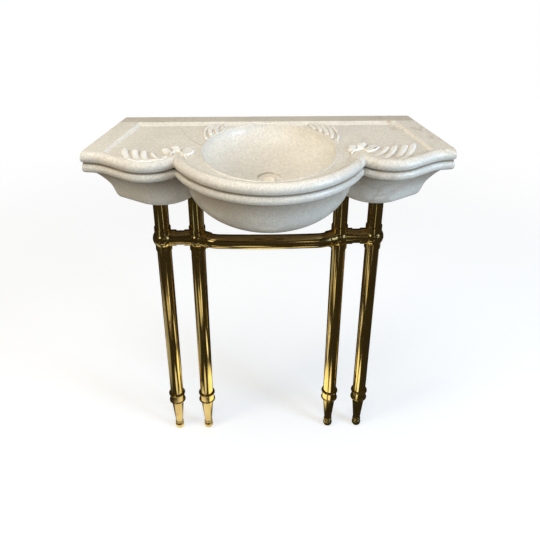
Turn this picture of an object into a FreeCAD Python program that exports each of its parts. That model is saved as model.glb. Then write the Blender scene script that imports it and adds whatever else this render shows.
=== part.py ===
import FreeCAD, Part
import math
import os

# Console sink: one carved stone basin on a brass stand with four legs in one line.
# Millimetres. +Z is up, +Y is the wall side. The origin is on the floor, at the
# centre of the whole outline in plan.

# ---- overall sizes
top_height = 870.0          # floor to the raised bead on the stone
front_width = 776.0         # across the two front corners
back_width = 643.0          # along the wall
total_depth = 340.0         # wall to the front of the bow
side_depth = 190.0          # wall to the front of the slab at its two ends
slab_thickness = 48.0       # from the raised bead to the soffit

# ---- plan of the front edge, measured on the outermost line of the beads
bow_radius = 218.0
wing_bulge_x = 252.0        # middle of each wing's bulge
wing_bulge_depth = 242.0    # wall to the front of the bulge
wing_bulge_radius = 89.0
wing_slope = 32.0           # degrees, between bulge and shoulder
shoulder_slope = 8.0        # degrees, at the slab's end
shoulder_radius = 75.0      # hollow curve between the slopes
bulge_wrap = 65.0           # degrees that the bulge turns in behind the bow
edge_overrun = 40.0         # moulding beyond the end before it is cut off

# ---- section of the front edge
bead_radius = 12.5
groove_inset = 9.0
groove_height = 1.5
lower_bead_inset = 2.5
lower_bead_ease = 1.5       # small slant between the lower bead and the soffit
bead_lap = 3.75             # a wing's bead runs on past the crown of the bow's bead

# ---- sunk panel on the top
panel_drop = 5.0
back_border = 29.5
back_slope = 12.0           # the border slopes down to the panel
side_border = 41.0
side_slope = 8.0

# ---- body under the slab
body_drop = 120.0           # raised bead to the flat underside of the wings
body_bulge_x = 232.0
body_bulge_centre = 119.0   # wall to the centre of the body's bulge
body_bulge_radius = 95.0    # at the soffit
body_overrun = 20.0         # the body is cut off flush with the wall

# Levels of the wing's body, from the soffit (0) to the underside (1). At each: the share
# of the height, how far the bulge has drawn in, the slope of the front in degrees, and
# how far the end stands in from the slab's end.
body_levels = [
    (0.00, 0.0, 17.0, 13.0),
    (0.09, 0.8, 18.5, 24.0),
    (0.20, 1.6, 20.0, 33.0),
    (0.33, 3.2, 22.5, 39.0),
    (0.50, 6.0, 26.0, 43.0),
    (0.72, 9.5, 29.0, 45.0),
    (0.90, 13.5, 30.0, 47.5),
    (1.00, 18.5, 30.0, 52.0),
]

# ---- round body under the bowl
bowl_body_depth = 135.0     # wall to its centre
bowl_body_radius = 180.0
bowl_body_fall = 110.0      # height of the rounded underside
bowl_body_collar = 25.0     # upright band under the soffit
bowl_body_flat = 4.0        # sliced off the bottom

# ---- bowl and waste
bowl_from_wall = 171.5
bowl_radius = 139.0
bowl_lip = 2.5
bowl_fall = 61.5            # below the lip
waste_rebate_radius = 25.0
waste_rebate_depth = 4.0
waste_hole_radius = 14.0
waste_pocket_radius = 38.0
waste_deck = 49.0           # stone between the rebate and the pocket for the nut

# ---- wall dowel holes
dowel_radius = 6.0
dowel_depth = 50.0
dowel_x = 230.0
dowel_drop = 70.0           # raised bead to the middle of the hole

# ---- stand
leg_from_wall = 115.0
outer_leg_x = 244.0
inner_leg_x = 164.6
tube_radius = 17.0
tube_wall = 1.5
joint_drop = 132.0          # underside of the wings to the middle of the fittings

# ---- ball fittings
ball_radius = 22.0
socket_radius = 19.2
socket_reach = 30.0         # ball centre to a socket's mouth
socket_stop = 18.0          # ball centre to the end of a tube in its socket
socket_clearance = 0.1

# ---- front bow rail
bow_socket_angle = 25.0     # degrees forward of the line of the legs
bow_bend_radius = 60.0
bow_middle_angle = 3.0      # degrees, where the end bend meets the long curve
bow_straight_end = 2.0      # straight tube outside the socket

# ---- foot
foot_ball_radius = 12.0
foot_flat = 0.7             # height sliced off the ball where it stands
foot_neck_radius = 7.0
foot_ring_radius = 11.0
foot_ring_height = 7.0
foot_taper_low_radius = 9.5
foot_taper_high_radius = 16.0
foot_collar_bottom = 104.0
foot_collar_top = 132.0
foot_collar_radius = 19.2
foot_rim_radius = 21.5
foot_rim_height = 4.0
foot_socket_depth = 24.0

# ---- leg fixing
seat_depth = 4.0            # shallow seat in the stone for the head of a leg
seat_clearance = 0.5
plug_spigot_length = 25.0
stud_radius = 5.0
stud_length = 26.0
insert_radius = 8.0
insert_length = 30.0

# ---- grub screws
grub_radius = 2.5
grub_length = 3.2
grub_clearance = 0.1
grub_from_centre = 24.5     # ball centre to a screw's axis
grub_turn = 20.0            # degrees from straight forward, towards the middle

# ---- worked out
wall_y = total_depth / 2.0
panel_height = top_height - panel_drop
soffit_height = top_height - slab_thickness
body_bottom = top_height - body_drop
joint_height = body_bottom - joint_drop
bow_y = wall_y - (total_depth - bow_radius)
bowl_y = wall_y - bowl_from_wall
leg_y = wall_y - leg_from_wall
tube_bore = tube_radius - tube_wall
socket_bore = tube_radius + socket_clearance
far = 3.0 * front_width
up = FreeCAD.Vector(0, 0, 1)


def point(x, y, z=0.0):
    return FreeCAD.Vector(x, y, z)


def turned(x, y, degrees):
    """The point (x, y) turned about the origin."""
    a = math.radians(degrees)
    return point(x * math.cos(a) - y * math.sin(a), x * math.sin(a) + y * math.cos(a))


def cylinder(radius, base, direction, length):
    return Part.makeCylinder(radius, length, base, direction)


def mirrored(shape):
    return shape.mirror(point(0, 0), point(1, 0))


def fused(shapes):
    return shapes[0].fuse(shapes[1:]).removeSplitter()


# A section is a list of steps in (out, height): a pair is the end of a straight line,
# and two pairs are the middle and the end of an arc. The first step is the start.
def section_face(section, at=0.0, sense=1.0):
    """The closed section in the XZ plane, with its zero line at x = at."""
    def place(pair):
        return point(at + sense * pair[0], 0, pair[1])
    here = place(section[0])
    edges = []
    for step in section[1:] + [section[0]]:
        if isinstance(step[0], tuple):
            edges.append(Part.Arc(here, place(step[0]), place(step[1])).toShape())
            here = place(step[1])
        else:
            edges.append(Part.LineSegment(here, place(step)).toShape())
            here = place(step)
    return Part.Face(Part.Wire(edges))


def along_line(section, start, end):
    """The section carried along a straight line, with its out side on the right."""
    face = section_face(section)
    path = end - start
    face.rotate(point(0, 0), up, math.degrees(math.atan2(-path.x, path.y)))
    face.translate(start)
    return face.extrude(path)


def along_arc(section, centre, radius, start_angle, sweep, sense):
    """The section carried round a centre; sense is -1 where the centre is outside."""
    face = section_face(section, radius, sense)
    face.rotate(point(0, 0), up, start_angle)
    face.translate(centre)
    return face.revolve(centre, up, sweep)


def slab_section(depth):
    """Big bead, groove, lower bead and soffit."""
    turn = math.acos(1.0 - groove_inset / bead_radius)
    bead_end = top_height - bead_radius * (1.0 + math.sin(turn))
    low_start = bead_end - groove_height
    low_end = soffit_height + lower_bead_ease
    return [
        (-depth, top_height),
        (-bead_radius, top_height),
        ((0.0, top_height - bead_radius), (-groove_inset, bead_end)),
        (-groove_inset, low_start),
        ((-lower_bead_inset, (low_start + low_end) / 2.0), (-groove_inset, low_end)),
        (-groove_inset - lower_bead_ease, soffit_height),
        (-depth, soffit_height),
    ]


def bead_foot():
    """How far in from the outline the bead's round back meets the panel."""
    return bead_radius + math.sqrt(bead_radius ** 2 - (bead_radius - panel_drop) ** 2)


def bead_crown(share):
    """A point on the big bead, from its foot on the panel (0) to its crown (1)."""
    low = math.asin((bead_radius - panel_drop) / bead_radius)
    turn = low + (math.pi / 2.0 - low) * share
    return (
        -bead_radius * (1.0 + math.cos(turn)),
        top_height - bead_radius * (1.0 - math.sin(turn)),
    )


def bead_section():
    """The bead's round back and all that lies outside it, left when the panel is sunk."""
    clear = top_height + panel_drop
    return [
        (-bead_foot(), panel_height),
        (bead_crown(0.5), bead_crown(1.0)),
        (-bead_radius, clear),
        (bead_radius, clear),
        (bead_radius, panel_height),
    ]


def nose_section():
    """The inner half of the bead's round back, from its foot to under its crown."""
    return [
        (-bead_foot(), panel_height),
        (bead_crown(0.5), bead_crown(1.0)),
        (-bead_radius, panel_height),
    ]


def prism(corners, bottom, top):
    ring = [point(x, y, bottom) for x, y in corners]
    face = Part.Face(Part.makePolygon(ring + ring[:1]))
    return face.extrude(point(0, 0, top - bottom))


def side_line(inset=0.0):
    """Two points, front then back, on the slab's right-hand end, moved in by inset."""
    run = point((back_width - front_width) / 2.0, side_depth)
    run.normalize()
    out = point(run.y, -run.x)
    corner = point(back_width / 2.0, wall_y) - out * inset
    return corner - run * far, corner + run * far


def plan_corners(side_inset, back_inset):
    """Between the two ends and in front of the wall, moved in by the insets."""
    front, back = side_line(side_inset)
    run = back - front
    y = wall_y - back_inset
    x = front.x + run.x * (y - front.y) / run.y
    return [(front.x, front.y), (x, y), (-x, y), (-front.x, front.y)]


def plan(bottom, top):
    return prism(plan_corners(0.0, 0.0), bottom, top)


def panel_room():
    """Inside the flat border, narrowing to the panel along the border's slopes."""
    rings = []
    for share in (0.0, 1.0, 2.0):
        side = side_border + side_slope * (1.0 - share)
        back = back_border + back_slope * (1.0 - share)
        z = panel_height + panel_drop * share
        corners = [point(x, y, z) for x, y in plan_corners(side, back)]
        rings.append(Part.makePolygon(corners + corners[:1]))
    return Part.makeLoft(rings, True, True)


def front_edge():
    """Centres and meeting points along the right-hand wing's front edge."""
    bulge = point(wing_bulge_x, wall_y - wing_bulge_depth + wing_bulge_radius)
    slope = turned(1, 0, wing_slope)
    shoulder = turned(1, 0, shoulder_slope)
    leave = bulge + turned(0, -wing_bulge_radius, wing_slope)
    corner = point(front_width / 2.0, wall_y - side_depth)
    # where the slope and the shoulder would meet without the hollow curve
    gap = corner - leave
    run = (gap.x * shoulder.y - gap.y * shoulder.x) / (slope.x * shoulder.y - slope.y * shoulder.x)
    meet = leave + slope * run
    tangent = shoulder_radius * math.tan(math.radians(wing_slope - shoulder_slope) / 2.0)
    hollow_start = meet - slope * tangent
    hollow_end = meet + shoulder * tangent
    hollow = hollow_start + turned(0, -shoulder_radius, wing_slope)
    return bulge, leave, hollow_start, hollow, hollow_end, corner + shoulder * edge_overrun


def carried_wing(section):
    """A section carried along the right-hand wing's front edge."""
    bulge, leave, hollow_start, hollow, hollow_end, end = front_edge()
    sweep = bulge_wrap + wing_slope
    return [
        along_arc(section, bulge, wing_bulge_radius, -90 - bulge_wrap, sweep, 1),
        along_line(section, leave, hollow_start),
        along_arc(section, hollow, shoulder_radius, 90 + shoulder_slope, wing_slope - shoulder_slope, -1),
        along_line(section, hollow_end, end),
    ]


def nose():
    """Where the crowns of a wing's bead and the bow's bead cross, in plan."""
    bulge = front_edge()[0]
    bow = point(0, bow_y)
    across = bulge - bow
    apart = across.Length
    first = bow_radius - bead_radius
    second = wing_bulge_radius - bead_radius
    along = (apart ** 2 + first ** 2 - second ** 2) / (2.0 * apart)
    off = math.sqrt(first ** 2 - along ** 2)
    across.normalize()
    return bow + across * along + point(across.y, -across.x) * off


def wing_core():
    """The right-hand half of the slab, behind the carried mouldings."""
    bulge, leave, hollow_start, hollow, hollow_end, end = front_edge()
    back = wing_bulge_radius / 2.0
    tip = nose()
    corners = [
        (0.0, wall_y), (end.x, wall_y), (end.x, end.y + back), (hollow_end.x, hollow_end.y + back),
        (leave.x, leave.y + back), (bulge.x, bulge.y), (tip.x, tip.y), (0.0, bulge.y),
    ]
    return prism(corners, soffit_height, top_height)


def beads():
    """The bow's bead with a round end on each side, and the wings' beads up to it."""
    section = bead_section()
    tip = nose()
    centre = point(0, bow_y)
    turn = math.degrees(math.atan2(tip.x, bow_y - tip.y))
    bow = along_arc(section, centre, bow_radius, -90 - turn, 2 * turn, 1)
    face = section_face(nose_section(), bow_radius)
    face.rotate(point(0, 0), up, -90 + turn)
    face.translate(centre)
    end = face.revolve(tip, up, -180)
    inside = cylinder(bow_radius - bead_radius - bead_lap, centre, up, top_height + panel_drop)
    wing = fused(carried_wing(section)).cut(inside)
    return [bow, end, mirrored(end), wing, mirrored(wing)]


def slab():
    """The moulded top with its sunk panel."""
    wing = fused([wing_core()] + carried_wing(slab_section(wing_bulge_radius)))
    bow = along_arc(slab_section(bow_radius), point(0, bow_y), bow_radius, 0, 360, 1)
    whole = fused([wing, mirrored(wing), bow])
    whole = whole.common(plan(soffit_height, top_height))
    return whole.cut(panel_room().cut(beads()))


def wing_ring(share, drawn_in, slope, end_in):
    """Outline of the right-hand wing's body at one level."""
    z = soffit_height + (body_bottom - soffit_height) * share
    radius = body_bulge_radius - drawn_in
    bulge = point(body_bulge_x, wall_y - body_bulge_centre, z)
    start = bulge + turned(0, -radius, -bulge_wrap)
    middle = bulge + turned(0, -radius, (slope - bulge_wrap) / 2.0)
    leave = bulge + turned(0, -radius, slope)
    front, back = side_line(end_in)
    run = back - front
    way = turned(1, 0, slope)
    # where the straight front meets the end
    gap = front - leave
    reach = (gap.x * run.y - gap.y * run.x) / (way.x * run.y - way.y * run.x)
    corner = leave + way * reach
    corner.z = z
    y = wall_y + body_overrun
    far_back = point(front.x + run.x * (y - front.y) / run.y, y, z)
    near_back = point(0, y, z)
    return Part.Wire([
        Part.LineSegment(near_back, start).toShape(),
        Part.Arc(start, middle, leave).toShape(),
        Part.LineSegment(leave, corner).toShape(),
        Part.LineSegment(corner, far_back).toShape(),
        Part.LineSegment(far_back, near_back).toShape(),
    ])


def wing_body():
    """The right-hand wing's body under the slab."""
    return Part.makeLoft([wing_ring(*level) for level in body_levels], True, False)


def bowl_body():
    """The round body: an upright band over half an egg, sliced flat at the bottom."""
    centre = soffit_height - bowl_body_collar
    lift = 1.0 - bowl_body_flat / bowl_body_fall
    flat_radius = bowl_body_radius * math.sqrt(1.0 - lift ** 2)
    flat_z = centre - bowl_body_fall * lift
    egg = Part.Ellipse(point(bowl_body_radius, 0), point(0, bowl_body_fall), point(0, 0))
    curve = Part.ArcOfEllipse(egg, 0, math.asin(lift)).toShape()
    # the ellipse is drawn in XY, so it is stood up and turned to hang down
    curve.rotate(point(0, 0), point(1, 0), -90)
    curve.translate(point(0, 0, centre))
    rim = point(bowl_body_radius, 0, centre)
    top_rim = point(bowl_body_radius, 0, soffit_height)
    foot = point(flat_radius, 0, flat_z)
    axis_low = point(0, 0, flat_z)
    axis_top = point(0, 0, soffit_height)
    wire = Part.Wire([
        Part.LineSegment(axis_top, top_rim).toShape(),
        Part.LineSegment(top_rim, rim).toShape(),
        curve,
        Part.LineSegment(foot, axis_low).toShape(),
        Part.LineSegment(axis_low, axis_top).toShape(),
    ])
    body = Part.Face(wire).revolve(point(0, 0), up, 360)
    body.translate(point(0, wall_y - bowl_body_depth))
    return body


def bowl_hollow():
    """The bowl with its rolled lip, the waste's rebate, hole and pocket."""
    lip_z = panel_height - bowl_lip
    egg = Part.Ellipse(point(bowl_radius, 0), point(0, bowl_fall), point(0, 0))
    curve = Part.ArcOfEllipse(egg, 0, math.pi / 2.0).toShape()
    curve.rotate(point(0, 0), point(1, 0), -90)
    curve.translate(point(0, 0, lip_z))
    rim = point(bowl_radius, 0, lip_z)
    lip_mid = point(bowl_radius + bowl_lip * (1 - math.sqrt(0.5)), 0, lip_z + bowl_lip * math.sqrt(0.5))
    lip_top = point(bowl_radius + bowl_lip, 0, panel_height)
    over = point(bowl_radius + bowl_lip, 0, top_height + panel_drop)
    axis_top = point(0, 0, top_height + panel_drop)
    bottom = point(0, 0, lip_z - bowl_fall)
    wire = Part.Wire([
        Part.LineSegment(axis_top, over).toShape(),
        Part.LineSegment(over, lip_top).toShape(),
        Part.Arc(lip_top, lip_mid, rim).toShape(),
        curve,
        Part.LineSegment(bottom, axis_top).toShape(),
    ])
    bowl = Part.Face(wire).revolve(point(0, 0), up, 360)
    rebate_z = bottom.z - waste_rebate_depth
    rebate = cylinder(waste_rebate_radius, point(0, 0, rebate_z), up, bowl_fall)
    pocket_z = rebate_z - waste_deck
    low = soffit_height - bowl_body_collar - bowl_body_fall
    hole = cylinder(waste_hole_radius, point(0, 0, low), up, rebate_z + waste_rebate_depth - low)
    pocket = cylinder(waste_pocket_radius, point(0, 0, low), up, pocket_z - low)
    hollow = fused([bowl, rebate, hole, pocket])
    hollow.translate(point(0, bowl_y))
    return hollow


def leg_places():
    """Name and x of each leg, left to right."""
    return [
        ("outer_left", -outer_leg_x), ("inner_left", -inner_leg_x),
        ("inner_right", inner_leg_x), ("outer_right", outer_leg_x),
    ]


def leg_seats():
    """Seats and insert holes cut in the underside."""
    cuts = []
    for name, x in leg_places():
        reach = body_bottom - joint_height
        seat = cylinder(tube_radius + seat_clearance, point(x, leg_y, joint_height), up, reach + seat_depth)
        hole = cylinder(insert_radius, point(x, leg_y, body_bottom), up, seat_depth + insert_length)
        cuts += [seat, hole]
    return cuts


def dowel_holes():
    toward_room = point(0, -1)
    return [
        cylinder(dowel_radius, point(x, wall_y, top_height - dowel_drop), toward_room, dowel_depth)
        for x in (-dowel_x, dowel_x)
    ]


def stone():
    wing = wing_body()
    body = fused([wing, mirrored(wing), bowl_body()])
    body = body.common(plan(0.0, soffit_height))
    block = fused([slab(), body])
    return block.cut([bowl_hollow()] + leg_seats() + dowel_holes()).removeSplitter()


def tube(base, direction, length):
    outer = cylinder(tube_radius, base, direction, length)
    return outer.cut(cylinder(tube_bore, base, direction, length))


def upright(x, bottom, top):
    return tube(point(x, leg_y, bottom), up, top - bottom)


def bow_frame():
    """Unit direction out of the right-hand inner fitting, and where its rail starts."""
    direction = turned(-1, 0, bow_socket_angle)
    centre = point(inner_leg_x, leg_y, joint_height)
    return centre, direction


def bow_path():
    """Centre line of the front rail from the right-hand inner fitting to the middle."""
    centre, direction = bow_frame()
    start = centre + direction * socket_stop
    bend_start = centre + direction * (socket_reach + bow_straight_end)
    inward = point(-direction.y, direction.x) * -bow_bend_radius
    bend_centre = bend_start + inward
    sweep = bow_socket_angle - bow_middle_angle
    half = (bend_start - bend_centre)
    bend_mid = bend_centre + turned(half.x, half.y, -sweep / 2.0)
    bend_end = bend_centre + turned(half.x, half.y, -sweep)
    rise = bend_end.x * math.tan(math.radians(bow_middle_angle) / 2.0)
    middle = point(0, bend_end.y - rise, joint_height)
    for place in (bend_mid, bend_end):
        place.z = joint_height
    return start, bend_start, bend_mid, bend_end, middle


def bow_rail():
    """The front rail: straight ends, two bends and one long shallow curve."""
    start, bend_start, bend_mid, bend_end, middle = bow_path()

    def left(place):
        return point(-place.x, place.y, place.z)
    path = Part.Wire([
        Part.LineSegment(start, bend_start).toShape(),
        Part.Arc(bend_start, bend_mid, bend_end).toShape(),
        Part.Arc(bend_end, middle, left(bend_end)).toShape(),
        Part.Arc(left(bend_end), left(bend_mid), left(bend_start)).toShape(),
        Part.LineSegment(left(bend_start), left(start)).toShape(),
    ])
    direction = bend_start - start
    skins = []
    for radius in (tube_radius, tube_bore):
        ring = Part.Wire(Part.makeCircle(radius, start, direction))
        skins.append(path.makePipeShell([ring], True, True))
    return skins[0].cut(skins[1])


def fitting_directions(name, x):
    """Unit directions of a fitting's sockets."""
    inwards = -1.0 if x > 0 else 1.0
    ways = [up, -up]
    if name.startswith("outer"):
        ways.append(point(inwards, 0))
    else:
        ways.append(point(-inwards, 0))
        bow = bow_frame()[1]
        ways.append(point(abs(bow.x) * inwards, bow.y))
    return ways


def grub_axis(way, x):
    """Direction in which a grub screw points out of a socket."""
    inwards = -1.0 if x > 0 else 1.0
    forward = point(0, -1)
    if abs(way.z) > 0:
        return turned(forward.x, forward.y, grub_turn * inwards)
    return -up


def fitting(name, x):
    centre = point(x, leg_y, joint_height)
    solid = Part.makeSphere(ball_radius, centre)
    ways = fitting_directions(name, x)
    solid = fused([solid] + [cylinder(socket_radius, centre, way, socket_reach) for way in ways])
    for way in ways:
        length = socket_reach - socket_stop
        solid = solid.cut(cylinder(socket_bore, centre + way * socket_stop, way, length))
        out = grub_axis(way, x)
        axis = centre + way * grub_from_centre
        solid = solid.cut(cylinder(grub_radius + grub_clearance, axis, out, socket_radius + grub_length))
    return solid


def grub_screws():
    """One small screw in each socket, just proud of it."""
    screws = []
    for name, x in leg_places():
        centre = point(x, leg_y, joint_height)
        for way in fitting_directions(name, x):
            out = grub_axis(way, x)
            base = centre + way * grub_from_centre + out * tube_radius
            screws.append(cylinder(grub_radius, base, out, grub_length))
    return Part.makeCompound(screws)


def foot(x):
    """Ball, ring, taper and collar in one turned piece, bored for the leg."""
    ball_z = foot_ball_radius - foot_flat
    flat = math.sqrt(foot_ball_radius ** 2 - ball_z ** 2)
    neck = ball_z + math.sqrt(foot_ball_radius ** 2 - foot_neck_radius ** 2)
    ring = neck + foot_ring_height
    low = foot_collar_bottom
    high = foot_collar_top
    bulge = foot_rim_radius
    section = [
        (0.0, 0.0),
        (flat, 0.0),
        ((foot_ball_radius, ball_z), (foot_neck_radius, neck)),
        ((foot_ring_radius, (neck + ring) / 2.0), (foot_neck_radius, ring)),
        (foot_taper_low_radius, ring),
        (foot_taper_high_radius, low),
        (foot_collar_radius, low),
        ((bulge, low + foot_rim_height / 2.0), (foot_collar_radius, low + foot_rim_height)),
        (foot_collar_radius, high - foot_rim_height),
        ((bulge, high - foot_rim_height / 2.0), (foot_collar_radius, high)),
        (socket_bore, high),
        (socket_bore, high - foot_socket_depth),
        (0.0, high - foot_socket_depth),
    ]
    turned_foot = section_face(section).revolve(point(0, 0), up, 360)
    turned_foot.translate(point(x, leg_y))
    return turned_foot


def top_plug(x):
    """Head of a leg: spigot in the tube, flange on its end and stud in the stone."""
    low = body_bottom - plug_spigot_length
    spigot = cylinder(tube_bore - socket_clearance, point(x, leg_y, low), up, plug_spigot_length)
    flange = cylinder(tube_radius, point(x, leg_y, body_bottom), up, seat_depth)
    stud = cylinder(stud_radius, point(x, leg_y, body_bottom + seat_depth), up, stud_length)
    return fused([spigot, flange, stud])


def stone_inserts():
    """Threaded sleeves set in the stone, one over each leg."""
    sleeves = []
    for name, x in leg_places():
        base = point(x, leg_y, body_bottom + seat_depth)
        sleeve = cylinder(insert_radius, base, up, insert_length)
        sleeves.append(sleeve.cut(cylinder(stud_radius, base, up, insert_length)))
    return Part.makeCompound(sleeves)


def side_rail(sign):
    start = point(sign * (inner_leg_x + socket_stop), leg_y, joint_height)
    length = outer_leg_x - inner_leg_x - 2 * socket_stop
    return tube(start, point(sign, 0), length)


def save(name, shape):
    shape.exportStep("parts/" + name + ".step")
    print(name, len(shape.Solids), shape.isValid(), round(shape.Volume))


os.makedirs("parts", exist_ok=True)
save("stone_basin", stone())
for name, x in leg_places():
    save("upper_tube_" + name, upright(x, joint_height + socket_stop, body_bottom))
    save("lower_tube_" + name, upright(x, foot_collar_top - foot_socket_depth, joint_height - socket_stop))
    save("ball_fitting_" + name, fitting(name, x))
    save("foot_" + name, foot(x))
    save("top_plug_" + name, top_plug(x))
save("side_rail_left", side_rail(-1))
save("side_rail_right", side_rail(1))
save("front_bow_rail", bow_rail())
save("stone_inserts", stone_inserts())
save("grub_screws", grub_screws())
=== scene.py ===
import math

import bpy
import numpy as np
from mathutils import Matrix, Vector


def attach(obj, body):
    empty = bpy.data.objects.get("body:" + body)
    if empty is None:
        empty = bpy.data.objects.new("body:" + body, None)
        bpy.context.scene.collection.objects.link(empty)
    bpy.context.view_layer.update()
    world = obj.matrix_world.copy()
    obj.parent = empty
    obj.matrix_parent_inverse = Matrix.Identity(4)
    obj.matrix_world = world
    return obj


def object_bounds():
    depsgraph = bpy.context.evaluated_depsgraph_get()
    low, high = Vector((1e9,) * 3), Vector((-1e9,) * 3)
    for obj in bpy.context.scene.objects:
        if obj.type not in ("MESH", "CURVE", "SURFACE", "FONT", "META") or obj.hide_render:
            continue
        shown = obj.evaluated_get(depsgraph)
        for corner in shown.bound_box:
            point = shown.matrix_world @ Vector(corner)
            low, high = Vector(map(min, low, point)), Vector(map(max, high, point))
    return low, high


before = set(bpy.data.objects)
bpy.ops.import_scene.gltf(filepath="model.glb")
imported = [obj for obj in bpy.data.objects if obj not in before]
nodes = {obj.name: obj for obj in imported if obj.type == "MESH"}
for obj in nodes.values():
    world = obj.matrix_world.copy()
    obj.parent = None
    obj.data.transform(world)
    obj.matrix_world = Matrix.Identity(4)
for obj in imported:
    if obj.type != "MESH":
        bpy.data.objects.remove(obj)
cadLow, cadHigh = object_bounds()
scene = bpy.context.scene
scene.view_settings.view_transform = "Standard"

# everything is in metres: the stone's back and highest point, the panel sunk into its top,
# and the middle of its round bowl
wall = cadHigh[1]
top = cadHigh[2]
panel = top - 0.005
bowl = (0.0, wall - 0.1715)


class Wire:
    # a shader socket that can be reckoned with: a sum on it adds its Math nodes
    def __init__(self, tree, socket=None):
        self.tree = tree
        self.socket = socket

    # any node: its kind, what is set on it first, its sockets' values or wires, the wanted output
    def add(self, kind, settings=None, sockets=None, out=0):
        node = self.tree.nodes.new("ShaderNode" + kind)
        for name, value in (settings or {}).items():
            setattr(node, name, value)
        for name, value in (sockets or {}).items():
            if isinstance(value, Wire):
                self.tree.links.new(value.socket, node.inputs[name])
            elif isinstance(value, tuple) and len(value) == 3 and node.inputs[name].type == "RGBA":
                node.inputs[name].default_value = (*value, 1.0)
            else:
                node.inputs[name].default_value = value
        return Wire(self.tree, node.outputs[out] if len(node.outputs) else None)

    def reckon(self, operation, *values):
        return self.add("Math", {"operation": operation}, dict(enumerate(values)))

    def __add__(self, other):
        return self.reckon("ADD", self, other)

    def __radd__(self, other):
        return self.reckon("ADD", other, self)

    def __sub__(self, other):
        return self.reckon("SUBTRACT", self, other)

    def __rsub__(self, other):
        return self.reckon("SUBTRACT", other, self)

    def __mul__(self, other):
        return self.reckon("MULTIPLY", self, other)

    def __rmul__(self, other):
        return self.reckon("MULTIPLY", other, self)

    # 0 below the first value, 1 above the second, eased between
    def rise(self, low, high):
        settings = {"interpolation_type": "SMOOTHSTEP"}
        return self.add("MapRange", settings, {"Value": self, "From Min": low, "From Max": high})

    # the first colour where the wire is 0, the second where it is 1
    def blend(self, first, second):
        return self.add("Mix", {"data_type": "RGBA"}, {0: self, 6: first, 7: second}, out=2)


def newFinish(name):
    # an empty material, and a wire that carries the place on the object
    finish = bpy.data.materials.new(name)
    finish.use_nodes = True
    finish.node_tree.nodes.clear()
    return finish, Wire(finish.node_tree).add("TexCoord", out="Object")


def surface(shader):
    shader.add("OutputMaterial", {}, {"Surface": shader})


def noise(place, scale, detail, roughness=0.5, bend=0.0):
    sockets = {"Vector": place, "Scale": scale, "Detail": detail, "Roughness": roughness, "Distortion": bend}
    return place.add("TexNoise", {}, sockets)


def axis(place, letter):
    return place.add("SeparateXYZ", {}, {"Vector": place}, letter)


def distance(place, point):
    return place.add("VectorMath", {"operation": "DISTANCE"}, {0: place, 1: point}, "Value")


# cream marble, clouded, with sugar-like crystals, thin veins and old stains: a noise is its
# scale, detail, roughness and bend, and what is named Between rises from the first to the second
marbleLook = {
    "cream": (0.765, 0.705, 0.610),
    "cloud": (0.700, 0.645, 0.555),
    "cloudNoise": (7.0, 4.0, 0.62),
    "cloudBetween": (0.38, 0.66),
    # thin veins all over, which show in patches
    "vein": (0.42, 0.31, 0.20),
    "veinNoise": (2.6, 5.0, 0.6, 0.8),
    "veinHalf": 0.012,
    "patchNoise": (3.1, 1.0),
    "patchBetween": (0.52, 0.66),
    "veinStrength": 0.35,
    # the x, y, z, reach and strength of each brown stain, and the shares of the reach it fades over
    "stain": (0.50, 0.36, 0.20),
    "stainNoise": (120.0, 2.0),
    "stainEdge": (0.5, 1.5),
    "stains": [
        (0.272, 0.138, 0.866, 0.009, 0.85),
        (-0.262, -0.016, 0.869, 0.009, 0.9),
        (-0.030, -0.158, 0.858, 0.006, 0.8),
        (0.002, -0.163, 0.858, 0.005, 0.7),
        (0.098, -0.137, 0.858, 0.005, 0.6),
    ],
    # painted shade lies low in the carvings, and a painted highlight makes their crests paler
    "hollowShade": (0.50, 0.40, 0.27),
    "hollowShadeBetween": (panel - 0.0001, panel + 0.0022),
    "crestHighlight": (0.93, 0.90, 0.84),
    "crestHighlightBetween": (panel + 0.0022, panel + 0.0044),
    # painted shade in the moulding's groove, in a dark tone that also darkens the wall strip: its height, the
    # fade to either side, and where the bowl ends
    "darkTone": (0.30, 0.24, 0.17),
    "groove": top - 0.02525,
    "grooveFade": (0.0013, 0.0036),
    "grooveBowl": (0.1425, 0.1450),
    "grooveStrength": 0.9,
    # painted shade below the moulding's soffit: its height, the fade down and up, and where the bowl ends
    "soffit": top - 0.048,
    "soffitFade": (0.060, 0.004),
    "soffitBowl": (0.1180, 0.1240),
    "soffitStrength": 0.85,
    # none of that is on the face towards the wall
    "backBetween": (wall - 0.010, wall - 0.004),
    # the top's flat strip along the wall is painted darker
    "stripBetween": (wall - 0.0310, wall - 0.0275),
    "stripStrength": 0.38,
    "topBetween": (top - 0.010, top - 0.006),
    # a brown vein on the left of the panel, reckoned from its middle along x: where it starts and
    # ends, how softly, its y there, its slope and its bend, how it wanders, and its half width
    "longMiddle": -0.165,
    "longEnds": (-0.031, 0.027),
    "longFade": 0.004,
    "longLine": (0.0530, -1.62, 20.0),
    "longNoise": (90.0, 3.0),
    "longWander": 0.008,
    "longHalf": 0.0030,
    "longStrength": 0.62,
    # a painted glow lights the inside of the waste hole: the glow's colour, the hole's radius and top, and
    # their fades
    "through": (0.27, 0.255, 0.22),
    "holeBetween": (0.0147, 0.0151),
    "holeTop": (top - 0.074, top - 0.073),
    # crystals make each grain a little darker or paler, and a few get a painted glint, paler and smoother
    "crystalScale": 420.0,
    "grain": 0.20,
    "speckNoise": (210.0, 3.0, 0.7),
    "speck": 0.10,
    "glint": 0.2125,
    "glintBetween": (0.93, 1.0),
    "roughness": 0.41,
    "smooth": 0.14,
    "smoothBetween": (0.86, 1.0),
    "bump": {"Strength": 0.05, "Distance": 0.0006},
    "shader": {"IOR": 1.5, "Coat Weight": 0.25, "Coat Roughness": 0.12, "Emission Strength": 1.0},
}


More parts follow.
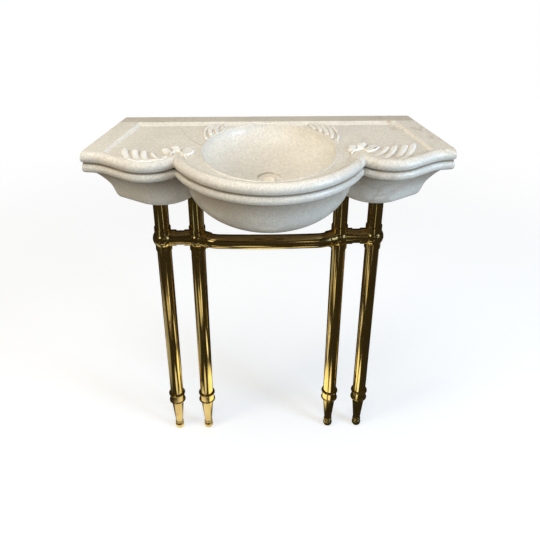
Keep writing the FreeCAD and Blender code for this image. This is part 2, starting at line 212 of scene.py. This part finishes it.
def veined(colour, place, look):
    # a vein is where a slow, bent noise crosses its middle value
    near = place.reckon("ABSOLUTE", noise(place, *look["veinNoise"]) - 0.5)
    patches = noise(place, *look["patchNoise"]).rise(*look["patchBetween"])
    shows = (1.0 - near.rise(0.0, look["veinHalf"])) * patches * look["veinStrength"]
    return shows.blend(colour, look["vein"])


def stained(colour, place, look):
    inner, outer = look["stainEdge"]
    for x, y, z, reach, strength in look["stains"]:
        ragged = distance(place, (x, y, z)) + noise(place, *look["stainNoise"]) * reach
        shows = (1.0 - ragged.rise(reach * inner, reach * outer)) * strength
        colour = shows.blend(colour, look["stain"])
    return colour


def carved(colour, place, look, reliefShading):
    # painted shade in the carvings' low places and a painted highlight on their crests
    height = axis(place, "Z")
    low = (1.0 - height.rise(*look["hollowShadeBetween"])) * reliefShading
    crest = height.rise(*look["crestHighlightBetween"]) * reliefShading
    return crest.blend(low.blend(colour, look["hollowShade"]), look["crestHighlight"])


def withPaintedShade(colour, place, fromBowl, look):
    # painted shade in the moulding's groove and under its soffit, away from the bowl and the back face
    height = axis(place, "Z")
    front = 1.0 - axis(place, "Y").rise(*look["backBetween"])
    groove = 1.0 - place.reckon("ABSOLUTE", height - look["groove"]).rise(*look["grooveFade"])
    groove = groove * look["grooveStrength"] * fromBowl.rise(*look["grooveBowl"])
    soffit = look["soffit"]
    down, up = look["soffitFade"]
    under = height.rise(soffit - down, soffit) * (1.0 - height.rise(soffit, soffit + up))
    under = under * look["soffitStrength"] * fromBowl.rise(*look["soffitBowl"])
    return ((groove + under) * front).blend(colour, look["darkTone"])


def linedOnTop(colour, place, look):
    # the brown vein, on the line y = middle + slope * x + bend * x squared, then the darker strip along the
    # wall
    onTop = axis(place, "Z").rise(*look["topBetween"])
    across = axis(place, "X") - look["longMiddle"]
    depth = axis(place, "Y")
    middle, slope, bend = look["longLine"]
    wander = (noise(place, *look["longNoise"]) - 0.5) * look["longWander"]
    off = place.reckon("ABSOLUTE", depth - (across * slope + across * across * bend + middle) + wander)
    start, end = look["longEnds"]
    fade = look["longFade"]
    along = across.rise(start - fade, start + fade) * (1.0 - across.rise(end - fade, end + fade))
    drawn = (1.0 - off.rise(0.0, look["longHalf"])) * along * onTop * look["longStrength"]
    strip = depth.rise(*look["stripBetween"]) * onTop * look["stripStrength"]
    return strip.blend(drawn.blend(colour, look["vein"]), look["darkTone"])


def makeMarble(name, look, reliefShading):
    finish, place = newFinish(name)
    flat = place.add("VectorMath", {"operation": "MULTIPLY"}, {0: place, 1: (1.0, 1.0, 0.0)})
    fromBowl = distance(flat, (*bowl, 0.0))
    colour = noise(place, *look["cloudNoise"]).rise(*look["cloudBetween"]).blend(look["cream"], look["cloud"])
    colour = veined(colour, place, look)
    colour = stained(colour, place, look)
    colour = carved(colour, place, look, reliefShading)
    colour = withPaintedShade(colour, place, fromBowl, look)
    colour = linedOnTop(colour, place, look)
    crystal = place.add("TexVoronoi", {}, {"Vector": place, "Scale": look["crystalScale"]}, "Color")
    grain, glint = (place.add("SeparateColor", {}, {"Color": crystal}, band) for band in ("Red", "Green"))
    speck = noise(place, *look["speckNoise"])
    shade = (grain - 0.5) * look["grain"] + (speck - 0.5) * look["speck"] + 1.0
    # painted glint: a few crystals are made paler
    shade = shade + glint.rise(*look["glintBetween"]) * look["glint"]
    colour = place.add("VectorMath", {"operation": "SCALE"}, {0: colour, "Scale": shade}, "Vector")
    # painted glow: the inside of the waste hole emits light
    inHole = 1.0 - fromBowl.rise(*look["holeBetween"])
    inHole = inHole * (1.0 - axis(place, "Z").rise(*look["holeTop"]))
    surface(place.add("BsdfPrincipled", {}, {
        "Base Color": colour,
        "Roughness": look["roughness"] - glint.rise(*look["smoothBetween"]) * look["smooth"],
        "Emission Color": inHole.blend((0.0, 0.0, 0.0), look["through"]),
        "Normal": place.add("Bump", {}, dict(look["bump"], Height=grain)),
        **look["shader"],
    }))
    return finish


# polished brass, toned in patches, with brown spots and fine lines along z
brassLook = {
    "bright": (0.84, 0.63, 0.26),
    "deep": (0.66, 0.46, 0.17),
    "toneNoise": (11.0, 4.0, 0.6),
    "toneBetween": (0.35, 0.70),
    "toneRough": 0.06,
    "brown": (0.30, 0.18, 0.07),
    "spotNoise": (60.0, 5.0, 0.7),
    "spotBetween": (0.60, 0.72),
    "spotStrength": 0.5,
    "spotRough": 0.12,
    # painted shade turns the rails and fittings brown where they face up
    "upBetween": (0.25, 0.75),
    "railsBetween": (0.50, 0.56),
    "upShadeStrength": 0.75,
    "roughness": 0.09,
    "lineScale": (900.0, 900.0, 12.0),
    "lineNoise": (1.0, 2.0),
    "bump": {"Strength": 0.04, "Distance": 0.0004},
}

# screws and inserts have gone dull and brown
agedLook = dict(brassLook, bright=(0.40, 0.28, 0.11), deep=(0.28, 0.18, 0.07), roughness=0.24)


def makeBrass(name, look):
    finish, place = newFinish(name)
    tone = noise(place, *look["toneNoise"]).rise(*look["toneBetween"])
    spots = noise(place, *look["spotNoise"]).rise(*look["spotBetween"])
    upward = axis(place.add("NewGeometry", out="Normal"), "Z").rise(*look["upBetween"])
    high = axis(place, "Z").rise(*look["railsBetween"])
    colour = tone.blend(look["bright"], look["deep"])
    colour = (spots * look["spotStrength"]).blend(colour, look["brown"])
    # painted shade: brown on the up-facing rails and fittings
    colour = (upward * high * look["upShadeStrength"]).blend(colour, look["brown"])
    stretched = place.add("Mapping", {}, {"Vector": place, "Scale": look["lineScale"]})
    lines = noise(stretched, *look["lineNoise"])
    surface(place.add("BsdfPrincipled", {}, {
        "Base Color": colour,
        "Metallic": 1.0,
        "Roughness": tone * look["toneRough"] + spots * look["spotRough"] + look["roughness"],
        "Normal": place.add("Bump", {}, dict(look["bump"], Height=lines)),
    }))
    return finish


marble = makeMarble("marble", marbleLook, reliefShading=0.0)
carvedMarble = makeMarble("carvedMarble", marbleLook, reliefShading=0.75)
brass = makeBrass("brass", brassLook)
agedBrass = makeBrass("agedBrass", agedLook)
finishOf = {"stone_basin": marble, "grub_screws": agedBrass, "stone_inserts": agedBrass}
for name, node in nodes.items():
    node.data.materials.clear()
    node.data.materials.append(finishOf.get(name, brass))
print("finishes are on the frame's nodes")


# the photograph's viewing angle, in metres and degrees
cameraSpec = {
    "place": (-0.0296, -1.3022, 1.4714),
    "pitch": 30.44,
    "yaw": -1.39,
    "roll": 0.17,
    "lens": 45.93,
    "sensor": 36.0,
    "shiftY": -0.1,
}


def addCamera(spec):
    pitch, yaw, roll = (math.radians(spec[key]) for key in ("pitch", "yaw", "roll"))
    turn = Matrix.Rotation(yaw, 3, "Z")
    ahead = turn @ Vector((0, math.cos(pitch), -math.sin(pitch)))
    above = turn @ Vector((0, math.sin(pitch), math.cos(pitch)))
    side = turn @ Vector((1, 0, 0))
    right = side * math.cos(roll) + above * math.sin(roll)
    upright = above * math.cos(roll) - side * math.sin(roll)
    data = bpy.data.cameras.new("camera")
    data.lens = spec["lens"]
    data.sensor_width = spec["sensor"]
    data.shift_y = spec["shiftY"]
    camera = bpy.data.objects.new("camera", data)
    facing = Matrix((right, upright, -ahead)).transposed().to_4x4()
    camera.matrix_world = Matrix.Translation(spec["place"]) @ facing
    scene.collection.objects.link(camera)
    scene.camera = camera


addCamera(cameraSpec)
print("camera is in place")


def around(count):
    # evenly spaced angles of one full turn
    return np.linspace(0.0, 2.0 * math.pi, count, endpoint=False)


def gridMesh(name, points, closed=False, tied=False):
    # points[i, j] is a grid of places; closed joins its last column to its first, tied its last row.
    # Its faces look along (the way down a column) x (the way along a row)
    rows, columns = points.shape[:2]
    row, column = np.meshgrid(np.arange(rows if tied else rows - 1),
                              np.arange(columns if closed else columns - 1), indexing="ij")
    after = (column + 1) % columns
    under = (row + 1) % rows
    corners = np.stack([row * columns + column, under * columns + column,
                        under * columns + after, row * columns + after], -1)
    mesh = bpy.data.meshes.new(name)
    mesh.from_pydata(points.reshape(-1, 3).tolist(), [], corners.reshape(-1, 4).tolist())
    return mesh


def addObject(name, mesh, finish):
    mesh.materials.append(finish)
    made = bpy.data.objects.new(name, mesh)
    scene.collection.objects.link(made)
    return made


def addStone(name, mesh, finish):
    piece = addObject(name, mesh, finish)
    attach(piece, "root")


# what all carvings share. Each ridge of a carving has the places of its crest, its half width to
# the left and to the right of it, its height at both ends, and how deep its middle is hollowed
carvingSpec = {
    # the distance between the places of a patch
    "step": 0.0009,
    # a patch lies this far inside the panel, with a skirt down to this height
    "sunk": 0.0003,
    "under": panel - 0.003,
    # no ridge stands up more than this, and none passes the crown
    "most": 0.0068,
    "crown": top + 0.0022,
    # a crest is a curve of at most this degree, drawn in this many steps
    "degree": 4,
    "crestSteps": 41,
    # the wing's bead runs round this point at its reach, and a leaf starts at its own
    "wing": (0.252, 0.017),
    "beadReach": 0.0765,
    "leafReach": 0.0790,
    "beadRadius": 0.0125,
    # behind this line, over this much, the bead leaves the circle
    "beadEnd": -0.024,
    "beadFade": 0.010,
}

# leaves on the wings, which start on the bead
leafRight = {
    "onBead": True,
    "across": (0.203, 0.311),
    "back": 0.030,
    "ridges": [
        ([(0.213, -0.029), (0.231, -0.023), (0.247, -0.001)], (0.0090, 0.0040), (0.0026, 0.0056), 0.0),
        ([(0.225, -0.044), (0.246, -0.033), (0.264, 0.003)], (0.0105, 0.0048), (0.0018, 0.0064), 0.0),
        ([(0.245, -0.048), (0.267, -0.033), (0.286, 0.006)], (0.0110, 0.0050), (0.0016, 0.0066), 0.0),
        ([(0.264, -0.050), (0.286, -0.031), (0.305, 0.012)], (0.0110, 0.0050), (0.0016, 0.0066), 0.0),
    ],
}
leafLeft = {
    "onBead": True,
    "across": (-0.308, -0.203),
    "back": 0.020,
    "ridges": [
        ([(-0.211, -0.040), (-0.230, -0.036), (-0.240, -0.020)], (0.0040, 0.0070), (0.0026, 0.0056), 0.0),
        ([(-0.220, -0.054), (-0.249, -0.045), (-0.260, -0.014)], (0.0048, 0.0110), (0.0014, 0.0062), 0.0),
        ([(-0.244, -0.059), (-0.268, -0.042), (-0.279, -0.008)], (0.0052, 0.0115), (0.0012, 0.0066), 0.0),
        ([(-0.263, -0.057), (-0.289, -0.036), (-0.300, -0.003)], (0.0056, 0.0110), (0.0012, 0.0066), 0.0),
    ],
}

# petals and a curl at the bow's ends
petalsRight = {
    "across": (0.150, 0.236),
    "front": -0.040,
    "back": 0.034,
    "ridges": [
        ([(0.171, -0.006), (0.173, 0.001), (0.175, 0.008)], (0.0098, 0.0098), (0.0058, 0.0066), 0.15),
        ([(0.190, 0.009), (0.193, 0.014), (0.197, 0.019)], (0.0102, 0.0102), (0.0056, 0.0066), 0.15),
        ([(0.209, -0.001), (0.213, 0.005), (0.218, 0.010)], (0.0088, 0.0088), (0.0060, 0.0062), 0.45),
        ([(0.203, -0.015), (0.216, -0.011), (0.228, 0.002)], (0.0034, 0.0034), (0.0050, 0.0058), 0.0),
        ([(0.1690, -0.0265), (0.1744, -0.0146), (0.1814, -0.0083), (0.1904, -0.0040), (0.1970, -0.0060),
          (0.2005, -0.0135)], (0.0024, 0.0024), (0.0060, 0.0064), 0.0),
    ],
}
petalsLeft = {
    "across": (-0.226, -0.152),
    "front": -0.044,
    "back": 0.024,
    "ridges": [
        ([(-0.209, -0.011), (-0.2115, -0.006), (-0.214, -0.001)], (0.0098, 0.0098), (0.0054, 0.0064), 0.25),
        ([(-0.191, 0.001), (-0.1930, 0.005), (-0.195, 0.009)], (0.0098, 0.0098), (0.0054, 0.0064), 0.20),
        ([(-0.170, -0.016), (-0.169, -0.008), (-0.168, 0.002)], (0.0098, 0.0098), (0.0060, 0.0064), 0.45),
        ([(-0.180, -0.024), (-0.166, -0.024), (-0.156, -0.010)], (0.0034, 0.0034), (0.0046, 0.0060), 0.0),
        ([(-0.2010, -0.0248), (-0.1976, -0.0144), (-0.1899, -0.0097), (-0.1813, -0.0142),
          (-0.1740, -0.0277), (-0.1690, -0.0395)], (0.0024, 0.0024), (0.0064, 0.0046), 0.0),
    ],
}

# fans behind the bowl: the angles they lie between, in degrees, and the radii
fanRight = {
    "round": (13.0, 62.0),
    "out": (0.1424, 0.190),
    "ridges": [
        ([(0.104, 0.104), (0.099, 0.118), (0.094, 0.131)], (0.0052, 0.0038), (0.0064, 0.0040), 0.25),
        ([(0.116, 0.091), (0.113, 0.111), (0.105, 0.132)], (0.0056, 0.0042), (0.0066, 0.0044), 0.25),
        ([(0.128, 0.074), (0.126, 0.101), (0.118, 0.129)], (0.0060, 0.0044), (0.0068, 0.0046), 0.25),
        ([(0.138, 0.056), (0.139, 0.089), (0.133, 0.120)], (0.0060, 0.0044), (0.0068, 0.0046), 0.25),
        ([(0.146, 0.042), (0.151, 0.076), (0.144, 0.112)], (0.0040, 0.0032), (0.0060, 0.0046), 0.0),
    ],
}
fanLeft = {
    "round": (119.0, 164.0),
    "out": (0.1424, 0.184),
    "ridges": [
        ([(-0.134, 0.056), (-0.139, 0.094), (-0.128, 0.121)], (0.0032, 0.0036), (0.0050, 0.0054), 0.0),
        ([(-0.124, 0.074), (-0.128, 0.102), (-0.118, 0.129)], (0.0046, 0.0062), (0.0068, 0.0046), 0.25),
        ([(-0.112, 0.091), (-0.115, 0.113), (-0.105, 0.134)], (0.0042, 0.0058), (0.0068, 0.0046), 0.25),
        ([(-0.099, 0.104), (-0.101, 0.118), (-0.091, 0.135)], (0.0038, 0.0052), (0.0062, 0.0040), 0.25),
    ],
}


def rowPlaces(spec, shared):
    # straight rows from front to back, where a leaf's front keeps inside the round of the bead
    columns = np.arange(*spec["across"], shared["step"])
    if "front" in spec:
        front = spec["front"] + 0.0 * columns
    else:
        wingX, wingY = shared["wing"]
        front = wingY - np.sqrt(np.maximum(shared["leafReach"] ** 2 - (np.abs(columns) - wingX) ** 2, 0.0))
    count = int((spec["back"] - front.min()) / shared["step"])
    share = np.linspace(0.0, 1.0, count)[:, None]
    return np.broadcast_arrays(columns[None, :], front + (spec["back"] - front) * share)


def arcPlaces(spec, shared):
    # arcs round the bowl, one beyond the other
    start, end = (math.radians(value) for value in spec["round"])
    inner, outer = spec["out"]
    turn, radius = np.meshgrid(np.arange(start, end, shared["step"] / inner),
                               np.arange(inner, outer, shared["step"]), indexing="ij")
    return bowl[0] + radius * np.cos(turn), bowl[1] + radius * np.sin(turn)


def ridgeHeight(x, y, ridge, shared):
    # how high a ridge stands at each place: its height times the root of one less the square of
    # (distance from the crest over the half width there), less the hollow near the crest
    places, widths, heights, hollow = ridge
    steps = np.linspace(0.0, 1.0, len(places))
    share = np.linspace(0.0, 1.0, shared["crestSteps"])
    degree = min(len(places) - 1, shared["degree"])
    along, up = (np.polyval(np.polyfit(steps, values, degree), share) for values in zip(*places))
    turnX, turnY = np.gradient(along), np.gradient(up)
    length = np.hypot(turnX, turnY)
    awayX, awayY = x[..., None] - along, y[..., None] - up
    far = np.hypot(awayX, awayY)
    near = far.argmin(-1)
    crestDistance = np.take_along_axis(far, near[..., None], -1)[..., 0]
    lean = np.take_along_axis((turnX * awayY - turnY * awayX) / length, near[..., None], -1)[..., 0]
    side = 0.5 + 0.5 * lean / np.maximum(crestDistance, 1e-7)
    width = widths[1] + (widths[0] - widths[1]) * side
    reach = np.clip(crestDistance / width, 0.0, 1.0)
    height = heights[0] + (heights[1] - heights[0]) * share[near]
    return height * (np.sqrt(1.0 - reach ** 2) - hollow * (1.0 - reach ** 2) ** 2)


def beadGround(x, y, shared):
    # the panel, or the bead's round section where it stands above the panel
    wingX, wingY = shared["wing"]
    radius = shared["beadRadius"]
    off = np.hypot(np.abs(x) - wingX, y - wingY) - shared["beadReach"]
    bead = top - radius + np.sqrt(np.maximum(radius ** 2 - off ** 2, 0.0))
    share = np.clip((shared["beadEnd"] - y) / shared["beadFade"], 0.0, 1.0)
    return panel + (np.maximum(panel, bead) - panel) * share


def skirtedMesh(name, surfacePoints, under):
    # a grid of places, with a skirt round its edge and one flat face below
    rows, columns = surfacePoints.shape[:2]
    grid = np.arange(rows * columns).reshape(rows, columns)
    edge = np.concatenate([grid[0, :], grid[1:, -1], grid[-1, -2::-1], grid[-2:0:-1, 0]])
    points = surfacePoints.reshape(-1, 3)
    below = points[edge] * (1.0, 1.0, 0.0) + (0.0, 0.0, under)
    low = rows * columns + np.arange(len(edge))
    tops = np.stack([grid[:-1, :-1], grid[:-1, 1:], grid[1:, 1:], grid[1:, :-1]], -1).reshape(-1, 4)
    sides = np.stack([low, np.roll(low, -1), np.roll(edge, -1), edge], -1)
    mesh = bpy.data.meshes.new(name)
    mesh.from_pydata(np.concatenate([points, below]).tolist(), [],
                     tops.tolist() + sides.tolist() + [low[::-1].tolist()])
    smooth = np.zeros(len(mesh.polygons), bool)
    smooth[:len(tops)] = True
    mesh.polygons.foreach_set("use_smooth", smooth)
    return mesh


def addCarving(name, spec, shared):
    x, y = arcPlaces(spec, shared) if "round" in spec else rowPlaces(spec, shared)
    relief = np.max([ridgeHeight(x, y, ridge, shared) for ridge in spec["ridges"]], axis=0)
    ground = beadGround(x, y, shared) if spec.get("onBead") else panel
    height = np.minimum(ground - shared["sunk"] + np.clip(relief, 0.0, shared["most"]), shared["crown"])
    addStone(name, skirtedMesh(name, np.stack([x, y, height], -1), shared["under"]), carvedMarble)


carvings = {
    "leafLeft": leafLeft, "leafRight": leafRight, "petalsLeft": petalsLeft,
    "petalsRight": petalsRight, "fanLeft": fanLeft, "fanRight": fanRight,
}
for name, spec in carvings.items():
    addCarving(name, spec, carvingSpec)
print("carvings are on the stone")


# a thin raised rim round the bowl: radius and height of its middle, half width, half height, and
# the steps round the bowl and round its own section
rimSpec = {
    "radius": 0.1413,
    "height": panel - 0.0004,
    "wide": 0.0022,
    "high": 0.0019,
    "steps": (360, 32),
}


def addRim(spec):
    # an ellipse carried round the bowl's middle
    turn, lap = np.meshgrid(*(around(count) for count in spec["steps"]), indexing="ij")
    radius = spec["radius"] + spec["wide"] * np.cos(lap)
    points = np.stack([bowl[0] + radius * np.cos(turn), bowl[1] + radius * np.sin(turn),
                       spec["height"] + spec["high"] * np.sin(lap)], -1)
    mesh = gridMesh("bowlRim", points, closed=True, tied=True)
    mesh.shade_smooth()
    addStone("bowlRim", mesh, marble)


addRim(rimSpec)


# the fittings' balls swell out between their sockets: radius, how far up and down it shows in
# degrees, the inner radius, hidden in the tube, the steps up the ball and round it, and the
# leg that each stands on
ballSpec = {
    "radius": 0.0242,
    "show": 48.0,
    "inside": 0.0150,
    "steps": (33, 64),
    "legs": {
        "ballOuterLeft": "outer_left",
        "ballInnerLeft": "inner_left",
        "ballInnerRight": "inner_right",
        "ballOuterRight": "outer_right",
    },
}


def middleOf(name):
    # the middle of a node's box
    corners = np.array([corner[:] for corner in nodes[name].bound_box])
    return (corners.min(axis=0) + corners.max(axis=0)) / 2.0


def addBall(name, leg, spec):
    # an arc of the ball's circle, closed inside the tube and turned about the leg's middle line
    x, y, _ = middleOf("lower_tube_" + leg)
    height = middleOf("ball_fitting_" + leg)[2]
    rings, spokes = spec["steps"]
    lift = np.radians(np.linspace(-spec["show"], spec["show"], rings))
    outward = np.concatenate([spec["radius"] * np.cos(lift), [spec["inside"], spec["inside"]]])
    upward = spec["radius"] * np.sin(np.concatenate([lift, lift[[-1, 0]]]))
    turn = around(spokes)[:, None]
    points = np.stack([x + outward * np.cos(turn), y + outward * np.sin(turn),
                       height + upward + 0.0 * turn], -1)
    mesh = gridMesh(name, points, closed=True, tied=True)
    mesh.shade_smooth()
    ball = addObject(name, mesh, brass)
    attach(ball, "root")


for name, leg in ballSpec["legs"].items():
    addBall(name, leg, ballSpec)
print("rim and balls are in place")


# soft lamps over a pale floor and sky: each lamp's name, place, size, power and colour
studioSpec = {
    "lampAim": (0.0, 0.0, 0.8),
    "lamps": [
        ("overhead", (-0.3, -0.5, 2.8), 1.4, 30.0, (1.0, 0.985, 0.94)),
        ("front", (0.9, -2.4, 1.7), 1.4, 7.0, (0.97, 0.98, 1.0)),
        ("leftWarm", (-2.3, -1.2, 2.0), 1.2, 26.0, (1.0, 0.88, 0.64)),
        ("rightCool", (2.4, -1.5, 1.35), 1.2, 68.0, (0.58, 0.77, 1.0)),
    ],
    "white": (1.0, 1.0, 1.0),
    "sky": 0.24,
    "floorReach": 30.0,
    "floorDrop": 0.0004,
    "floorSteps": (25, 64),
    "floorMiddle": 0.002,
    # what light the floor throws back, and how it looks: shaded near the feet, plain white far out
    "floorBounce": (0.31, 0.31, 0.31),
    "floorShade": (0.55, 0.55, 0.55),
    "floorGlow": 0.56,
    "floorBetween": (0.8, 2.2),
}


def addLamp(name, place, size, power, colour, aim):
    data = bpy.data.lights.new(name, "AREA")
    data.shape = "DISK"
    data.size = size
    data.energy = power
    data.color = colour
    lamp = bpy.data.objects.new(name, data)
    lamp.location = place
    lamp.rotation_euler = (Vector(aim) - Vector(place)).to_track_quat("-Z", "Y").to_euler()
    scene.collection.objects.link(lamp)


def seenByEye(wire):
    # 1 for what the camera sees, straight, in a mirror or through glass, and 0 for other light
    kinds = ("Is Camera Ray", "Is Glossy Ray", "Is Transmission Ray")
    camera, glossy, through = (wire.add("LightPath", out=kind) for kind in kinds)
    return wire.reckon("MINIMUM", camera + glossy + through, 1.0)


def addFloor(spec):
    # rings round the object's foot, wider apart further out: radius = reach * share squared
    rings, spokes = spec["floorSteps"]
    share, turn = np.meshgrid(np.linspace(0.0, 1.0, rings), around(spokes), indexing="ij")
    radius = spec["floorReach"] * np.maximum(share, spec["floorMiddle"]) ** 2
    points = np.stack([radius * np.cos(turn), radius * np.sin(turn), 0.0 * turn - spec["floorDrop"]], -1)
    finish, place = newFinish("floor")
    away = place.add("VectorMath", {"operation": "LENGTH"}, {0: place}, "Value")
    bounce = place.add("BsdfDiffuse", {}, {"Color": spec["floorBounce"]})
    shade = place.add("BsdfDiffuse", {}, {"Color": spec["floorShade"]})
    glow = place.add("Emission", {}, {"Color": spec["white"], "Strength": spec["floorGlow"]})
    white = place.add("Emission", {}, {"Color": spec["white"], "Strength": 1.0})
    near = place.add("AddShader", {}, {0: shade, 1: glow})
    seen = place.add("MixShader", {}, {0: away.rise(*spec["floorBetween"]), 1: near, 2: white})
    surface(place.add("MixShader", {}, {0: seenByEye(place), 1: bounce, 2: seen}))
    addObject("floor", gridMesh("floor", points, closed=True), finish)


def addSky(spec):
    world = bpy.data.worlds.new("studio")
    world.use_nodes = True
    world.node_tree.nodes.clear()
    scene.world = world
    wire = Wire(world.node_tree)
    soft = wire.add("Background", {}, {"Color": spec["white"], "Strength": spec["sky"]})
    white = wire.add("Background", {}, {"Color": spec["white"], "Strength": 1.0})
    sky = wire.add("MixShader", {}, {0: seenByEye(wire), 1: soft, 2: white})
    wire.add("OutputWorld", {}, {"Surface": sky})


# a dark tent round the object that only reflections can see: its section from the middle of its
# floor to its peak, in radius and height, and the place of each pool of light on it, the pool's
# reach along x, y and z, its strength and its tint
tentSpec = {
    "section": [
        (0.004, 0.002), (0.3, 0.002), (0.9, 0.002), (2.1, 0.002),
        (2.1, 1.0), (2.1, 2.0), (0.004, 2.9),
    ],
    "spokes": 96,
    "tone": (0.034, 0.029, 0.018),
    "poolEdge": (0.6, 1.1),
    "pools": [
        ((-0.66, 0.00, 0.0), (0.26, 0.26, 0.1), 0.42, (0.95, 1.0, 0.90)),
        ((-0.20, -0.15, 0.0), (0.06, 0.07, 0.1), 1.00, (1.0, 0.97, 0.80)),
        ((-0.21, 0.00, 0.0), (0.14, 0.09, 0.1), 1.00, (1.0, 0.98, 0.90)),
        ((0.00, 0.03, 0.0), (0.11, 0.17, 0.1), 1.60, (1.0, 0.96, 0.62)),
        ((0.15, -0.13, 0.0), (0.06, 0.10, 0.1), 1.50, (1.0, 0.98, 0.80)),
        ((-0.55, 0.22, 0.0), (0.60, 0.07, 0.1), 0.70, (1.0, 0.93, 0.75)),
        ((-0.07, -0.56, 0.0), (0.10, 0.13, 0.1), 1.10, (1.0, 0.94, 0.72)),
        ((0.75, 0.55, 0.0), (0.45, 0.20, 0.1), 0.22, (1.0, 0.95, 0.85)),
        ((-0.95, -0.75, 0.0), (0.14, 0.12, 0.1), 0.55, (0.85, 1.0, 0.92)),
        ((0.30, -1.05, 0.0), (0.05, 0.30, 0.1), 0.90, (1.0, 1.0, 0.90)),
        ((-0.35, -0.48, 0.0), (0.22, 0.10, 0.1), 0.75, (1.0, 0.92, 0.70)),
        ((-0.95, -1.15, 2.3), (0.32, 0.28, 0.4), 2.40, (1.0, 1.0, 0.92)),
        ((-0.10, -1.50, 2.2), (0.16, 0.16, 0.3), 1.60, (1.0, 1.0, 0.92)),
        ((-1.35, -1.60, 1.6), (0.38, 0.38, 0.40), 2.20, (1.0, 0.99, 0.88)),
        ((0.40, -2.05, 1.4), (0.10, 0.20, 0.16), 1.60, (1.0, 0.95, 0.75)),
        ((0.55, -1.20, 2.0), (0.12, 0.12, 0.5), 0.90, (1.0, 0.9, 0.65)),
        ((1.10, -1.60, 1.6), (0.15, 0.15, 0.2), 0.80, (1.0, 0.9, 0.65)),
        ((0.00, -2.05, 1.0), (1.40, 0.60, 0.10), 0.10, (1.0, 0.95, 0.85)),
    ],
}


def addTent(spec):
    # the section turned about z
    radius, height = (np.array(values)[:, None] for values in zip(*spec["section"]))
    turn = around(spec["spokes"])[None, :]
    points = np.stack([radius * np.cos(turn), radius * np.sin(turn), height + 0.0 * turn], -1)
    finish, place = newFinish("tent")
    colour = place.add("CombineColor", {}, dict(zip(("Red", "Green", "Blue"), spec["tone"])))
    for centre, reach, strength, tint in spec["pools"]:
        away = place.add("VectorMath", {"operation": "SUBTRACT"}, {0: place, 1: centre})
        away = place.add("VectorMath", {"operation": "DIVIDE"}, {0: away, 1: reach})
        away = place.add("VectorMath", {"operation": "LENGTH"}, {0: away}, "Value")
        lit = tuple(strength * part for part in tint)
        colour = (1.0 - away.rise(*spec["poolEdge"])).blend(colour, lit)
    surface(place.add("Emission", {}, {"Color": colour, "Strength": 1.0}))
    tent = addObject("tent", gridMesh("tent", points, closed=True), finish)
    tent.visible_camera = False
    tent.visible_diffuse = False
    tent.visible_shadow = False
    tent.visible_transmission = False


for lamp in studioSpec["lamps"]:
    addLamp(*lamp, studioSpec["lampAim"])
addFloor(studioSpec)
addSky(studioSpec)
addTent(tentSpec)
print("studio is in place")
